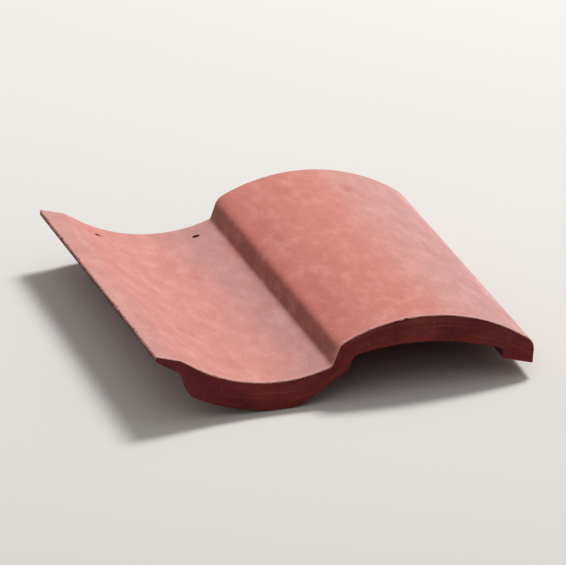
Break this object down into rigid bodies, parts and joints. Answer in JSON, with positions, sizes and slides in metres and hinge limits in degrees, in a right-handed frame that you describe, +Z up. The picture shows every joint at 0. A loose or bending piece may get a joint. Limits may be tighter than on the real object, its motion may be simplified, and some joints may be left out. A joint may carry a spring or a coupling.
{
  "type": "roof tile",
  "caption": "S-shaped clay roof tile with a concave pan, a convex roll, a thin lap flange and a thick nose lip.",
  "frame": {"origin": "centre of the bounding box in X and Y, on the floor that the tile lies on", "axes": "+Y along the tile from its nose (-Y, the eave end) to its head (+Y, the ridge end), +X from the lap flange to the roll, +Z up. The tile lies unheld, roll up, so it is turned 8.7 degrees about Y and 1.2 degrees about X from how it is laid"},
  "size_m": [0.2984, 0.4512, 0.0602],
  "materials": {
    "fired_clay": "matt"
  },
  "bodies": {
    "root": {"roof_tile": "fired_clay"}
  },
  "joints": []
}
